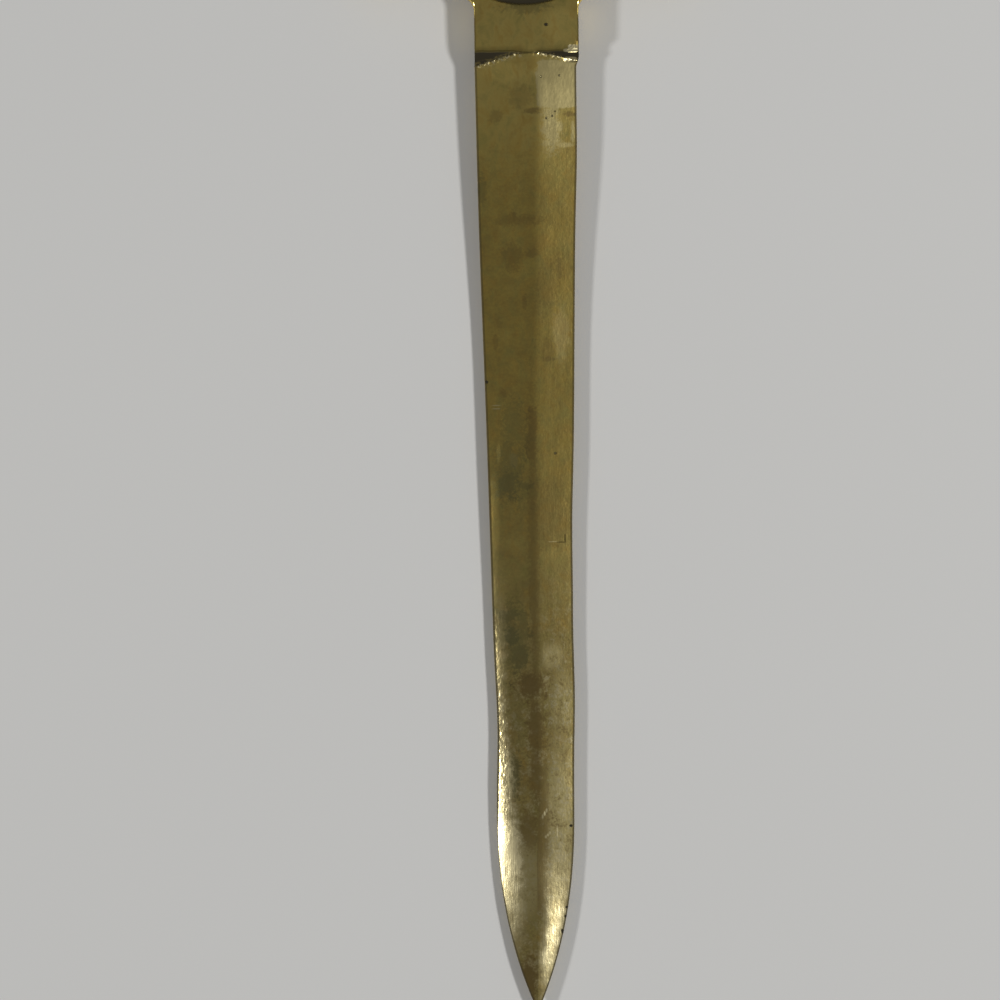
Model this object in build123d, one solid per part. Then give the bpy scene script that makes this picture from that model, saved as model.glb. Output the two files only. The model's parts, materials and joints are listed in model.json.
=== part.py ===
from build123d import *
import os
from math import asin, degrees, sin, sqrt

# Letter opener in dagger form, all brass. The blade carries a flat ricasso, flared shoulders and a short
# flat tang, with a threaded rod brazed to the tang's end. Guard, collars, grip halves, knop and pommel
# are strung on tang and rod like beads, and a domed nut on a washer draws the stack tight.
#
# The pieces are made in a working frame: X across the blade, Y from the tip to the nut, Z through the
# thickness, and Y = 0 where the blade's shoulders meet the guard. At the end all of them are laid down
# together, so that the pommel and the guard's two balls rest on Z = 0, with the origin midway along.

# Blade, millimetres
blade_length = 145.5  # end of the ricasso's flat to the tip
taper_length = 86.5  # of that, the straight taper from the root to the neck
point_length = 29.0  # and the curved run from the waist to the tip
root_width = 15.5
neck_width = 12.3
waist_width = 11.9
belly_width = 9.2  # pull of the curve on its way to the tip
tip_width = 0.8
root_ridge = 2.9  # thickness along the middle ridge
neck_ridge = 2.5
waist_ridge = 2.4
belly_ridge = 2.2
tip_ridge = 0.7
edge_thickness = 0.6  # the blunt edges
neck_swell = 0.08  # how far the bevels, flat at the root, are rounded outwards further on
waist_swell = 0.2
belly_swell = 0.25

# Ricasso, the flat stretch between the bevels and the guard
ricasso_length = 8.7
ricasso_width = 15.9
ricasso_thickness = 3.1
plunge_run = 2.2  # length of the filed hollow that starts the bevels
plunge_sag = 0.22  # depth of that hollow below a straight slope
flare_radius = 2.0  # concave flare from the ricasso's side to the shoulder
shoulder_land = 0.3  # square edge left at the flare's end

# Tang and rod
tang_width = 8.0
tang_thickness = 2.6
tang_setback = 0.3  # the flat tang stops this far inside the guard's top
rod_diameter = 2.5
rod_engagement = 3.4  # threaded length held by the nut

# Guard
guard_height = 8.0
guard_width = 52.0  # over the two balls
boss_width = 24.4  # elliptical boss in the middle
boss_depth = 7.2
boss_rim = 0.5  # rounding of the boss's rims
lip_width = 13.0  # bowed lip that laps over the ricasso
lip_drop = 1.5
arm_root_diameter = 5.0
arm_neck_diameter = 3.4
arm_sag = 0.3  # hollow of the arm's taper
arm_bead_width = 1.3
ball_diameter = 7.6

# Collars
collar_height = 3.0
collar_seat_diameter = 6.2
collar_diameter = 7.2

# Grip and knop
grip_length = 22.0  # each half
grip_end_diameter = 6.0
grip_middle_diameter = 7.7
grip_bore = 4.4
flute_count = 12
flute_radius = 0.9
flute_depth = 0.27
flute_margin = 2.4  # plain stretch at each end of a grip half
knop_bead_height = 1.4
knop_bead_diameter = 7.9
knop_seat_diameter = 7.2
knop_ring_height = 3.2
knop_ring_diameter = 8.4
spigot_length = 2.2  # spigots on collars and knop that centre their neighbours

# Pommel, washer and nut
pommel_diameter = 9.8
pommel_seat_diameter = 6.4
pommel_top_diameter = 6.4
washer_diameter = 6.0
washer_thickness = 0.5
nut_flats = 5.0
nut_hexagon_height = 2.0
nut_dome_diameter = 4.6
nut_height = 5.0

# Clearances
slip = 0.05  # per side, where one piece slides on another
lip_gap = 0.1  # between the guard's lip and the step filed for it in the ricasso
end_gap = 0.1  # past the end of a spigot in its socket, and of the rod in the nut

# Places along the working frame, in order from the tip
plunge_y = -ricasso_length
neck_y = plunge_y - taper_length
tip_y = plunge_y - blade_length
waist_y = tip_y + point_length
guard_top = guard_height
tang_end = guard_top - tang_setback
lower_grip_y = guard_top + collar_height
knop_y = lower_grip_y + grip_length
knop_height = 2 * knop_bead_height + knop_ring_height
upper_grip_y = knop_y + knop_height
upper_collar_y = upper_grip_y + grip_length
pommel_y = upper_collar_y + collar_height
pommel_centre = pommel_y + sqrt(pommel_diameter**2 - pommel_seat_diameter**2) / 2
pommel_top = pommel_centre + sqrt(pommel_diameter**2 - pommel_top_diameter**2) / 2
nut_y = pommel_top + washer_thickness
rod_end = nut_y + rod_engagement
arm_y = guard_height / 2

# Sizes that several pieces share
rod_radius = rod_diameter / 2
rod_hole = rod_radius + slip
spigot_radius = grip_bore / 2 - slip
ball_radius = ball_diameter / 2
pommel_radius = pommel_diameter / 2


def section(width, ridge, swell, y):
    """Edge, middle and ridge points that draw the upper right bevel of the blade at y."""
    middle = (edge_thickness + ridge) / 4 + swell
    return (width / 2, y, edge_thickness / 2), (width / 4, y, middle), (0, y, ridge / 2)


def along(start, end, y):
    """Section at y on the straight run through the sections start and end."""
    share = (y - start[0][1]) / (end[0][1] - start[0][1])
    return tuple(
        tuple(a + (b - a) * share for a, b in zip(first, last)) for first, last in zip(start, end)
    )


def blade_sections():
    """Root, neck and waist of the blade, then the three sections that draw its curve to the tip."""
    root = section(root_width, root_ridge, 0, plunge_y)
    neck = section(neck_width, neck_ridge, neck_swell, neck_y)
    waist = section(waist_width, waist_ridge, waist_swell, waist_y)
    leaving = along(neck, waist, waist_y - point_length / 3)
    belly = section(belly_width, belly_ridge, belly_swell, tip_y + point_length / 3)
    tip = section(tip_width, tip_ridge, 0, tip_y)
    return root, neck, waist, leaving, belly, tip


def mirrored(points, across, through):
    """The same points, with X and Z multiplied by across and through, each 1 or -1."""
    return [(across * x, y, through * z) for x, y, z in points]


def bevelled_run(sections):
    """The four bevels and two edges of a stretch of blade: straight through two sections, or a curve."""
    rows = list(zip(*sections))
    edge = rows[0]
    faces = []
    for across in (1, -1):
        for through in (1, -1):
            faces.append(Face.make_bezier_surface([mirrored(row, across, through) for row in rows]))
        faces.append(Face.make_bezier_surface([mirrored(edge, across, 1), mirrored(edge, across, -1)]))
    return faces


def section_face(points):
    """Flat end of the bevelled blade."""
    sides = []
    for across in (1, -1):
        sides += [Bezier(*mirrored(points, across, through)) for through in (1, -1)]
        sides.append(Line(*mirrored(points[:1], across, 1), *mirrored(points[:1], across, -1)))
    return make_face(sides)


def make_bevelled_blade():
    """The ground part of the blade, from inside the ricasso to the tip."""
    root, neck, waist, leaving, belly, tip = blade_sections()
    inner = along(neck, root, plunge_y / 2)
    faces = bevelled_run([inner, neck]) + bevelled_run([neck, waist])
    faces += bevelled_run([waist, leaving, belly, tip])
    return Solid(Shell(faces + [section_face(inner), section_face(tip)]))


def lip_outline(gap):
    """Bowed region between Y = 0 and the guard's lip, grown by gap."""
    end = lip_width / 2 + gap
    bow = ThreePointArc((-end, 0), (0, -lip_drop - gap), (end, 0))
    return make_face(bow + Line((end, 0), (-end, 0)))


def make_ricasso():
    """Flat ricasso with flared shoulders, hollow plunges and a step for the guard's lips."""
    side = ricasso_width / 2
    shoulder = side + flare_radius
    flare_end = -shoulder_land - flare_radius
    end_y = plunge_y - plunge_run
    outline = Polyline((0, end_y), (side, end_y), (side, flare_end))
    outline += RadiusArc((side, flare_end), (shoulder, -shoulder_land), flare_radius)
    outline += Polyline((shoulder, -shoulder_land), (shoulder, 0), (0, 0), (0, end_y))
    half = make_face(outline)
    body = extrude(half + mirror(half, about=Plane.YZ), amount=ricasso_thickness / 2, both=True)

    start = (plunge_y, ricasso_thickness / 2)
    end = (end_y, edge_thickness / 4)
    hollow = SagittaArc(start, end, -plunge_sag)
    hollow += Polyline(end, (end_y - plunge_run, end[1]), (end_y - plunge_run, ricasso_thickness))
    hollow += Polyline((end_y - plunge_run, ricasso_thickness), (plunge_y, ricasso_thickness), start)
    plunge = extrude(Plane.YZ * make_face(hollow), amount=ricasso_width, both=True)

    step_depth = (ricasso_thickness - tang_thickness) / 2
    step = extrude(Plane.XY.offset(tang_thickness / 2) * lip_outline(lip_gap), amount=2 * step_depth)
    for cutter in (plunge, step):
        body -= [cutter, mirror(cutter, about=Plane.XY)]
    return body


def make_blade():
    """Blade, ricasso and flat tang in one piece."""
    tang = Pos(0, tang_end / 2, 0) * Box(tang_width, tang_end, tang_thickness)
    return make_ricasso() + make_bevelled_blade() + tang


def make_rod():
    """Rod from the tang's end into the nut."""
    return Plane.XZ.offset(-tang_end) * extrude(Circle(rod_radius), amount=tang_end - rod_end)


def turned(outline):
    """Solid turned about the Y axis from a closed outline drawn in the XY plane."""
    return revolve(make_face(outline), Axis.Y)


def make_arm():
    """Right arm of the guard with its bead and ball, turned about its own axis."""
    root_x = boss_width / 4
    root, neck = arm_root_diameter / 2, arm_neck_diameter / 2
    ball_x = guard_width / 2 - ball_radius
    ball_start = ball_x - sqrt(ball_radius**2 - neck**2)
    bead_x = ball_start - arm_bead_width
    bead_top = (bead_x + arm_bead_width / 2, neck + arm_bead_width / 2)
    outline = Polyline((ball_x + ball_radius, 0), (root_x, 0), (root_x, root))
    outline += SagittaArc((root_x, root), (bead_x, neck), arm_sag)
    outline += ThreePointArc((bead_x, neck), bead_top, (ball_start, neck))
    outline += ThreePointArc((ball_start, neck), (ball_x, ball_radius), (ball_x + ball_radius, 0))
    return Pos(0, arm_y, 0) * revolve(make_face(outline), Axis.X)


def make_guard():
    """Elliptical boss with a bowed lip on each face, two arms, and the slot for the tang."""
    boss_plan = Ellipse(boss_width / 2, boss_depth / 2)
    boss = extrude(Plane.XZ * boss_plan, amount=-guard_height)
    lip = extrude(Plane.XZ * boss_plan, amount=lip_drop)
    lip &= extrude(lip_outline(0), amount=boss_depth, both=True)
    boss += lip
    rims = boss.edges().filter_by(lambda edge: edge.center().Y > guard_height - slip)
    boss = fillet(rims, boss_rim)
    arm = make_arm()
    slot_thickness = tang_thickness + 2 * slip
    slot = Pos(0, guard_height / 2, 0) * Box(tang_width + 2 * slip, 2 * guard_height, slot_thickness)
    mouth = Pos(0, -lip_drop, 0) * Box(boss_width, 2 * lip_drop, slot_thickness)
    return boss + arm + mirror(arm, about=Plane.YZ) - slot - mouth


def make_collar(bottom, spigot_below):
    """Bead-shaped collar with a spigot above it, and one below if asked."""
    seat = collar_seat_diameter / 2
    top = bottom + collar_height
    head = top + spigot_length
    outline = ThreePointArc((seat, bottom), (collar_diameter / 2, (bottom + top) / 2), (seat, top))
    outline += Polyline((seat, top), (spigot_radius, top), (spigot_radius, head), (rod_hole, head))
    if spigot_below:
        foot = bottom - spigot_length
        outline += Polyline((rod_hole, head), (rod_hole, foot), (spigot_radius, foot))
        outline += Polyline((spigot_radius, foot), (spigot_radius, bottom), (seat, bottom))
    else:
        outline += Polyline((rod_hole, head), (rod_hole, bottom), (seat, bottom))
    return turned(outline)


def make_grip(end_y, middle_y):
    """Bored and fluted half of the grip. It swells from end_y to middle_y, which is the knop's side."""
    bore, end, middle = grip_bore / 2, grip_end_diameter / 2, grip_middle_diameter / 2
    swell = middle - end
    bow_radius = (grip_length**2 + swell**2) / (2 * swell)
    # The swelling side is an arc about (middle - bow_radius, middle_y), level where it meets the knop.
    bow_x = middle - bow_radius
    halfway_y = (end_y + middle_y) / 2
    halfway_x = bow_x + sqrt(bow_radius**2 - (grip_length / 2) ** 2)
    outline = ThreePointArc((end, end_y), (halfway_x, halfway_y), (middle, middle_y))
    outline += Polyline((middle, middle_y), (bore, middle_y), (bore, end_y), (end, end_y))
    grip = turned(outline)

    lift = flute_radius - flute_depth
    flute_bow = bow_radius + lift
    toward_end = 1 if end_y > middle_y else -1
    near = flute_margin
    far = grip_length - flute_margin
    tips = []
    for distance in (near, (near + far) / 2, far):
        tips.append((bow_x + sqrt(flute_bow**2 - distance**2), middle_y + toward_end * distance))
    path = ThreePointArc(*tips)
    cutter = sweep(Plane(path @ 0, z_dir=path % 0) * Circle(flute_radius), path)
    cutter += [Pos(*tip) * Sphere(flute_radius) for tip in (tips[0], tips[-1])]
    for index in range(flute_count):
        grip -= Rot(Y=360 * index / flute_count) * cutter
    return grip


def make_knop():
    """Ring between two beads, with a spigot at each end."""
    seat, bead, ring = knop_seat_diameter / 2, knop_bead_diameter / 2, knop_ring_diameter / 2
    outline = Curve()
    y = knop_y
    for height, crest in ((knop_bead_height, bead), (knop_ring_height, ring), (knop_bead_height, bead)):
        outline += ThreePointArc((seat, y), (crest, y + height / 2), (seat, y + height))
        y += height
    foot, head = knop_y - spigot_length, y + spigot_length
    outline += Polyline((seat, y), (spigot_radius, y), (spigot_radius, head), (rod_hole, head))
    outline += Polyline((rod_hole, head), (rod_hole, foot), (spigot_radius, foot))
    outline += Polyline((spigot_radius, foot), (spigot_radius, knop_y), (seat, knop_y))
    return turned(outline)


def make_pommel():
    """Ball with a flat seat below and above, bored for the rod and for the upper collar's spigot."""
    seat, top, socket = pommel_seat_diameter / 2, pommel_top_diameter / 2, grip_bore / 2
    socket_end = pommel_y + spigot_length + end_gap
    outline = ThreePointArc((seat, pommel_y), (pommel_radius, pommel_centre), (top, pommel_top))
    outline += Polyline((top, pommel_top), (rod_hole, pommel_top), (rod_hole, socket_end))
    outline += Polyline((rod_hole, socket_end), (socket, socket_end), (socket, pommel_y), (seat, pommel_y))
    return turned(outline)


def make_washer():
    """Plain flat washer on the pommel's top."""
    ring = Circle(washer_diameter / 2) - Circle(rod_hole)
    return Plane.XZ.offset(-pommel_top) * extrude(ring, amount=-washer_thickness)


def make_nut():
    """Domed hexagon nut, blind, over the tang's rod."""
    seat = Plane.XZ.offset(-nut_y)
    flats = RegularPolygon(nut_flats / 2, 6, major_radius=False)
    hexagon = seat * extrude(flats, amount=-nut_hexagon_height)
    dome = nut_dome_diameter / 2
    shoulder_y = nut_y + nut_height - dome
    top = (0, nut_y + nut_height)
    outline = Polyline(top, (0, nut_y), (dome, nut_y), (dome, shoulder_y))
    outline += RadiusArc((dome, shoulder_y), top, -dome)
    hole = seat * extrude(Circle(rod_hole), amount=-(rod_engagement + end_gap))
    return hexagon + turned(outline) - hole


def make_pieces():
    """Every piece in the working frame, by its node's name."""
    return {
        "blade": make_blade(),
        "tang_rod": make_rod(),
        "guard": make_guard(),
        "lower_collar": make_collar(guard_top, spigot_below=False),
        "lower_grip": make_grip(lower_grip_y, knop_y),
        "grip_knop": make_knop(),
        "upper_grip": make_grip(upper_collar_y, upper_grip_y),
        "upper_collar": make_collar(upper_collar_y, spigot_below=True),
        "pommel": make_pommel(),
        "pommel_washer": make_washer(),
        "tang_nut": make_nut(),
    }


def laid_down(pieces):
    """Where the working frame goes when the opener lies on a table.

    It leans on the pommel, and comes down on the guard's balls or on the blade's ridge, whichever meets
    the table first. The sections that draw the ridge bound it, so they stand for the whole blade.
    """
    contacts = [(arm_y, ball_radius)]
    contacts += [(ridge[1], ridge[2]) for edge, middle, ridge in blade_sections()]
    tilt = min(asin((pommel_radius - radius) / (pommel_centre - y)) for y, radius in contacts)
    lift = pommel_radius - pommel_centre * sin(tilt)
    turn = Rot(X=degrees(tilt))
    box = Compound(children=[turn * piece for piece in pieces.values()]).bounding_box()
    return Pos(0, -(box.min.Y + box.max.Y) / 2, lift) * turn


pieces = make_pieces()
place = laid_down(pieces)
os.makedirs("parts", exist_ok=True)
for name, piece in pieces.items():
    export_step(place * piece, f"parts/{name}.step")
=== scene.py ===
import json
import math
from types import SimpleNamespace
from typing import NamedTuple

import bmesh
import bpy
from bpy.props import FloatProperty, FloatVectorProperty, IntProperty, PointerProperty
from mathutils import Matrix, Vector, noise


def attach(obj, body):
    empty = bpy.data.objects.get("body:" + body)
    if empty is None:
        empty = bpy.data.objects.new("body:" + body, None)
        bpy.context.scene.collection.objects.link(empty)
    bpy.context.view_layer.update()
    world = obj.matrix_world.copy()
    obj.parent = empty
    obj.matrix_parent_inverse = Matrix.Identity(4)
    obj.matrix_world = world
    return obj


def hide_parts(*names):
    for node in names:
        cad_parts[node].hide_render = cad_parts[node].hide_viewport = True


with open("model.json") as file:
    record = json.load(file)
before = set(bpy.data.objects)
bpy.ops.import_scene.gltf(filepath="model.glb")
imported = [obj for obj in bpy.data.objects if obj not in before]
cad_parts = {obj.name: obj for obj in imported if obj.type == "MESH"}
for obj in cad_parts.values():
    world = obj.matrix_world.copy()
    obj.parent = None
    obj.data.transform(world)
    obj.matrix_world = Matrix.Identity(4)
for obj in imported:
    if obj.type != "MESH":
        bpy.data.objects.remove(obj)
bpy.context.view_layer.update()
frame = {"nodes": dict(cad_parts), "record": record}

bl_info = {
    "name": "Brass Letter Opener",
    "version": (1, 0, 0),
    "blender": (4, 5, 0),
    "location": "View3D > Sidebar > Letter Opener",
    "description": "Models an aged brass letter opener in dagger form around its packed solids",
    "category": "Add Mesh",
}

# The pieces are modelled in millimetres in the opener's working frame, as their solids are: X across the
# blade, Y from the tip to the nut, Z through the thickness, Y = 0 where the shoulders meet the guard.
MM = 0.001
SEAT_FROM_TIP = 154.2
TIP_Y = -SEAT_FROM_TIP
WELD = 0.0004  # vertices closer than this are one
CREASE = math.radians(40)  # edges that turn by more than this stay sharp


def working_frame():
    """Matrix from working millimetres to the row's metres, read from the record's mounts."""
    mounts = {mount["name"]: mount for mount in frame["record"]["mounts"]}
    along = -Vector(mounts["blade"]["axis"])
    up = Vector(mounts["ricasso_front"]["axis"])
    turn = Matrix((along.cross(up), along, up)).transposed().to_4x4()
    seat = Vector(mounts["blade"]["pos_m"]) + along * SEAT_FROM_TIP * MM
    return Matrix.Translation(seat) @ turn @ Matrix.Scale(MM, 4)


WORKING = working_frame()


# Settings


def length(name, description, millimetres):
    """A length that a user can change."""
    return FloatProperty(
        name=name, description=description, default=millimetres * MM, min=0, unit="LENGTH", precision=5
    )


def angle(name, description, degrees):
    """An angle that a user can change."""
    return FloatProperty(
        name=name, description=description, default=math.radians(degrees), unit="ROTATION", subtype="ANGLE"
    )


def colour(name, description, default):
    """A colour that a user can change, in linear light."""
    return FloatVectorProperty(
        name=name, description=description, default=default, size=3, min=0, max=1, subtype="COLOR"
    )


class OpenerBladeSettings(bpy.types.PropertyGroup):
    """Sizes of the blade and its ricasso."""

    bevel_length: length("Bevel length", "From the end of the ricasso's flat to the tip", 145.5)
    taper_length: length("Taper length", "Straight taper from the root to the neck", 86.5)
    point_length: length("Point length", "Curved run from the waist to the tip", 29)
    root_width: length("Root width", "Width where the bevels start", 15.5)
    neck_width: length("Neck width", "Width at the end of the straight taper", 12.3)
    waist_width: length("Waist width", "Width where the curve to the tip starts", 11.9)
    belly_width: length("Belly width", "Pull of the outline on its way to the tip", 9.2)
    tip_width: length("Tip width", "Width across the rounded tip", 0.8)
    root_ridge: length("Root ridge", "Thickness along the ridge at the root", 2.9)
    neck_ridge: length("Neck ridge", "Thickness along the ridge at the neck", 2.5)
    waist_ridge: length("Waist ridge", "Thickness along the ridge at the waist", 2.4)
    belly_ridge: length("Belly ridge", "Pull of the ridge on its way to the tip", 2.2)
    tip_ridge: length("Tip ridge", "Thickness at the tip", 0.7)
    edge_thickness: length("Edge thickness", "Thickness of the blunt edges", 0.6)
    ricasso_width: length("Ricasso width", "Width of the flat below the guard", 15.9)
    ricasso_thickness: length("Ricasso thickness", "Thickness of the flat below the guard", 3.1)
    flare_radius: length("Flare radius", "Concave flare from the ricasso to the shoulder", 2.0)
    shoulder_land: length("Shoulder land", "Square edge left at the flare's end", 0.3)
    tang_width: length("Tang width", "Width of the flat tang", 8.0)
    tang_thickness: length("Tang thickness", "Thickness of the flat tang", 2.6)
    tang_length: length("Tang length", "How far the flat tang goes into the guard", 7.7)
    left_plunge: angle("Left plunge", "Slope of the filed plunge on the left bevel", 28.5)
    right_plunge: angle("Right plunge", "Slope of the filed plunge on the right bevel", 38)
    unevenness: length("Unevenness", "Depth of the file's and hammer's marks", 0.009)


class OpenerHiltSettings(bpy.types.PropertyGroup):
    """Sizes of the guard, the grip and what holds them."""

    guard_height: length("Guard height", "Height of the guard's boss along the tang", 8)
    guard_width: length("Guard width", "Width over the two balls", 52)
    boss_width: length("Boss width", "Width of the elliptical boss", 24.4)
    boss_depth: length("Boss depth", "Depth of the elliptical boss", 7.2)
    boss_rim: length("Boss rim", "Rounding of the boss's rims", 0.5)
    lip_width: length("Lip width", "Width of the bowed lip over the ricasso", 13)
    lip_drop: length("Lip drop", "How far the lip laps over the ricasso", 1.5)
    arm_root: length("Arm root", "Diameter of an arm at the boss", 5.0)
    arm_neck: length("Arm neck", "Diameter of an arm at its bead", 3.4)
    arm_sag: length("Arm sag", "Hollow of an arm's taper", 0.3)
    arm_bead: length("Arm bead", "Width of the bead before the ball", 1.3)
    ball: length("Ball", "Diameter of the guard's balls", 7.6)
    collar_height: length("Collar height", "Height of each collar", 3)
    collar_seat: length("Collar seat", "Diameter of a collar's flat ends", 6.2)
    collar: length("Collar", "Diameter over a collar's bead", 7.2)
    grip_length: length("Grip length", "Length of each half of the grip", 22)
    grip_end: length("Grip end", "Diameter of a grip half at its collar", 6)
    grip_middle: length("Grip middle", "Diameter of a grip half at the knop", 7.7)
    grip_bore: length("Grip bore", "Bore of the grip halves", 4.4)
    flute_count: IntProperty(name="Flutes", description="Number of flutes round the grip", default=12, min=3)
    flute_radius: length("Flute radius", "Radius of the cutter that makes a flute", 0.9)
    flute_depth: length("Flute depth", "Depth of a flute", 0.27)
    flute_margin: length("Flute margin", "Plain stretch at each end of a grip half", 2.4)
    knop_bead_height: length("Knop bead height", "Height of each bead of the knop", 1.4)
    knop_bead: length("Knop bead", "Diameter over the knop's beads", 7.9)
    knop_seat: length("Knop seat", "Diameter between the beads", 7.2)
    knop_ring_height: length("Knop ring height", "Height of the ring between the beads", 3.2)
    knop_ring: length("Knop ring", "Diameter over the ring", 8.4)
    spigot: length("Spigot", "Length of the spigots that centre the pieces", 2.2)
    pommel: length("Pommel", "Diameter of the pommel's ball", 9.8)
    pommel_seat: length("Pommel seat", "Diameter of the flat below the pommel", 6.4)
    pommel_top: length("Pommel top", "Diameter of the flat above the pommel", 6.4)
    washer: length("Washer", "Diameter of the washer", 6)
    washer_thickness: length("Washer thickness", "Thickness of the washer", 0.5)
    nut_flats: length("Nut flats", "Width across the nut's flats", 5)
    nut_hexagon: length("Nut hexagon", "Height of the nut's hexagon", 2)
    nut_dome: length("Nut dome", "Diameter of the nut's dome", 4.6)
    nut_height: length("Nut height", "Height of the nut with its dome", 5)
    rod_hole: length("Rod hole", "Diameter of the holes for the tang's rod", 2.6)
    soft_edge: length("Soft edge", "Rounding that use has left on the edges", 0.14)


class OpenerFinishSettings(bpy.types.PropertyGroup):
    """Colours of the aged brass."""

    tarnished: colour("Tarnished brass", "The olive brown that most of the brass has", (0.76, 0.57, 0.15))
    warm: colour("Warm brass", "Places with a golden tinge", (0.79, 0.53, 0.13))
    cool: colour("Cool brass", "Places with an olive tinge", (0.62, 0.53, 0.16))
    fresh: colour("Fresh brass", "The lighter brass near the guard", (0.97, 0.75, 0.23))
    dull: colour("Dull brass", "The greyer brass of the lower half", (0.72, 0.57, 0.2))
    pale: colour("Pale brass", "Brass that was rubbed clean and dulled again", (0.84, 0.7, 0.31))
    polished: colour("Polished brass", "Bare brass on edges and high places", (0.92, 0.8, 0.46))
    green: colour("Green stain", "Old verdigris", (0.2, 0.19, 0.085))
    brown: colour("Brown stain", "Brown tarnish", (0.38, 0.26, 0.095))
    # Near black: real dirt in the pits, hollows and seams, painted shade on the plunges and over the guard's
    # lips, and the dark line along the blade's edges.
    grime_and_shade: colour("Grime", "Dirt in the hollows", (0.03, 0.024, 0.012))


class OpenerStageSettings(bpy.types.PropertyGroup):
    """Floor, lights and camera."""

    floor: colour("Floor", "Pale floor", (0.75, 0.745, 0.725))
    sky: FloatProperty(name="Sky", description="Brightness of the even light", default=0.14, min=0)
    left_light: FloatProperty(name="Left light", description="Power", default=4.4, min=0, unit="POWER")
    right_light: FloatProperty(name="Right light", description="Power", default=6.5, min=0, unit="POWER")
    left_slope: angle("Left slope", "Angle of the left light from straight above", 50)
    right_slope: angle("Right slope", "Angle of the right light from straight above", 40)
    light_distance: length("Light distance", "From the blade to the lights", 1200)
    light_size: length("Light size", "Side of the square lights", 120)
    light_along: length("Light along", "How far below the guard the lights hang", 100)
    camera_height: length("Camera height", "From the blade to the camera", 900)
    view_width: length("View width", "Width that the camera sees at the blade", 152.7)
    view_left: length("View left", "How far left of the blade the camera is centred", 4.78)
    view_down: length("View down", "How far below the guard the camera is centred", 76.95)
    roll: angle("Roll", "Turn of the camera about its view", -0.767)


SETTINGS = {
    "opener_blade": OpenerBladeSettings,
    "opener_hilt": OpenerHiltSettings,
    "opener_finish": OpenerFinishSettings,
    "opener_stage": OpenerStageSettings,
}


def in_millimetres(settings):
    """The settings' values by name, with lengths in millimetres."""
    values = {}
    for name in settings.__annotations__:
        value = getattr(settings, name)
        unit = settings.bl_rna.properties[name].unit
        values[name] = value / MM if unit == "LENGTH" else value
    return SimpleNamespace(**values)


# Small sums that the shapes share


def smooth_larger(a, b, blend):
    """The larger of two values, with a soft change from one to the other."""
    return (a + b + math.hypot(a - b, blend)) / 2


def smooth_smaller(a, b, blend):
    """The smaller of two values, with a soft change from one to the other."""
    return (a + b - math.hypot(a - b, blend)) / 2


def ease(low, high, value):
    """0 up to low, 1 from high, and a smooth rise between them; a fall where low is the larger."""
    share = min(max((value - low) / (high - low), 0), 1)
    return share * share * (3 - 2 * share)


def bump(value, centre, reach):
    """1 at the centre, fading to nothing about two reaches away."""
    return math.exp(-(((value - centre) / reach) ** 2))


def through(points, value):
    """Smooth run through (place, height) points, level beyond its ends."""
    if value <= points[0][0]:
        return points[0][1]
    for (start, low), (end, high) in zip(points, points[1:]):
        if value <= end:
            return low + (high - low) * ease(start, end, value)
    return points[-1][1]


def bow(start, end, sag, steps):
    """Points of the arc from start to end that bulges by sag to the right of the way there."""
    start, end = Vector(start), Vector(end)
    chord = (end - start).length
    half_turn = 2 * math.atan2(2 * sag, chord)
    radius = chord / (2 * math.sin(half_turn))
    forward = (end - start) / chord
    outward = Vector((forward.y, -forward.x))
    centre = (start + end) / 2 - outward * (radius - sag)
    points = []
    for step in range(steps + 1):
        turn = half_turn * (2 * step / steps - 1)
        points.append(tuple(centre + forward * radius * math.sin(turn) + outward * radius * math.cos(turn)))
    return points


# Mesh helpers


def spun(outline, steps, closed=True):
    """Solid turned about Y from an outline of (radius, y) points."""
    bm = bmesh.new()
    verts = [bm.verts.new((radius, y, 0)) for radius, y in outline]
    ends = verts[1:] + verts[:1] if closed else verts[1:]
    edges = [bm.edges.new(pair) for pair in zip(verts, ends)]
    bmesh.ops.spin(
        bm, geom=verts + edges, cent=(0, 0, 0), axis=(0, 1, 0), angle=math.tau, steps=steps, use_merge=True
    )
    bmesh.ops.remove_doubles(bm, verts=bm.verts, dist=WELD)
    bmesh.ops.recalc_face_normals(bm, faces=bm.faces)
    return bm


def soften(bm, width, segments=3, sharper_than=math.radians(35)):
    """Rounds every edge that turns by more than the given angle."""
    edges = [edge for edge in bm.edges if edge.calc_face_angle(0) > sharper_than]
    bmesh.ops.bevel(
        bm, geom=edges, offset=width, affect="EDGES", segments=segments, profile=0.5, material=-1,
        clamp_overlap=True,
    )
    bmesh.ops.remove_doubles(bm, verts=bm.verts, dist=WELD)


def joined(meshes):
    """All the given meshes in one."""
    whole = bmesh.new()
    for bm in meshes:
        part = bpy.data.meshes.new("workpiece")
        bm.to_mesh(part)
        bm.free()
        whole.from_mesh(part)
        bpy.data.meshes.remove(part)
    return whole


def workpiece(bm):
    """Object for a mesh that is still being worked on."""
    mesh = bpy.data.meshes.new("workpiece")
    bm.to_mesh(mesh)
    bm.free()
    piece = bpy.data.objects.new("workpiece", mesh)
    bpy.context.scene.collection.objects.link(piece)
    return piece


def worked(bm, kind, tool=None, **choices):
    """The mesh after one modifier of the given kind, with a second mesh as its tool if it needs one."""
    piece = workpiece(bm)
    spent = [piece]
    modifier = piece.modifiers.new("Work", kind)
    for name, value in choices.items():
        setattr(modifier, name, value)
    if tool is not None:
        spent.append(workpiece(tool))
        modifier.object = spent[1]
    finished = piece.evaluated_get(bpy.context.evaluated_depsgraph_get())
    mesh = bpy.data.meshes.new_from_object(finished)
    result = bmesh.new()
    result.from_mesh(mesh)
    bpy.data.meshes.remove(mesh)
    for used in spent:
        mesh = used.data
        bpy.data.objects.remove(used)
        bpy.data.meshes.remove(mesh)
    return result


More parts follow.
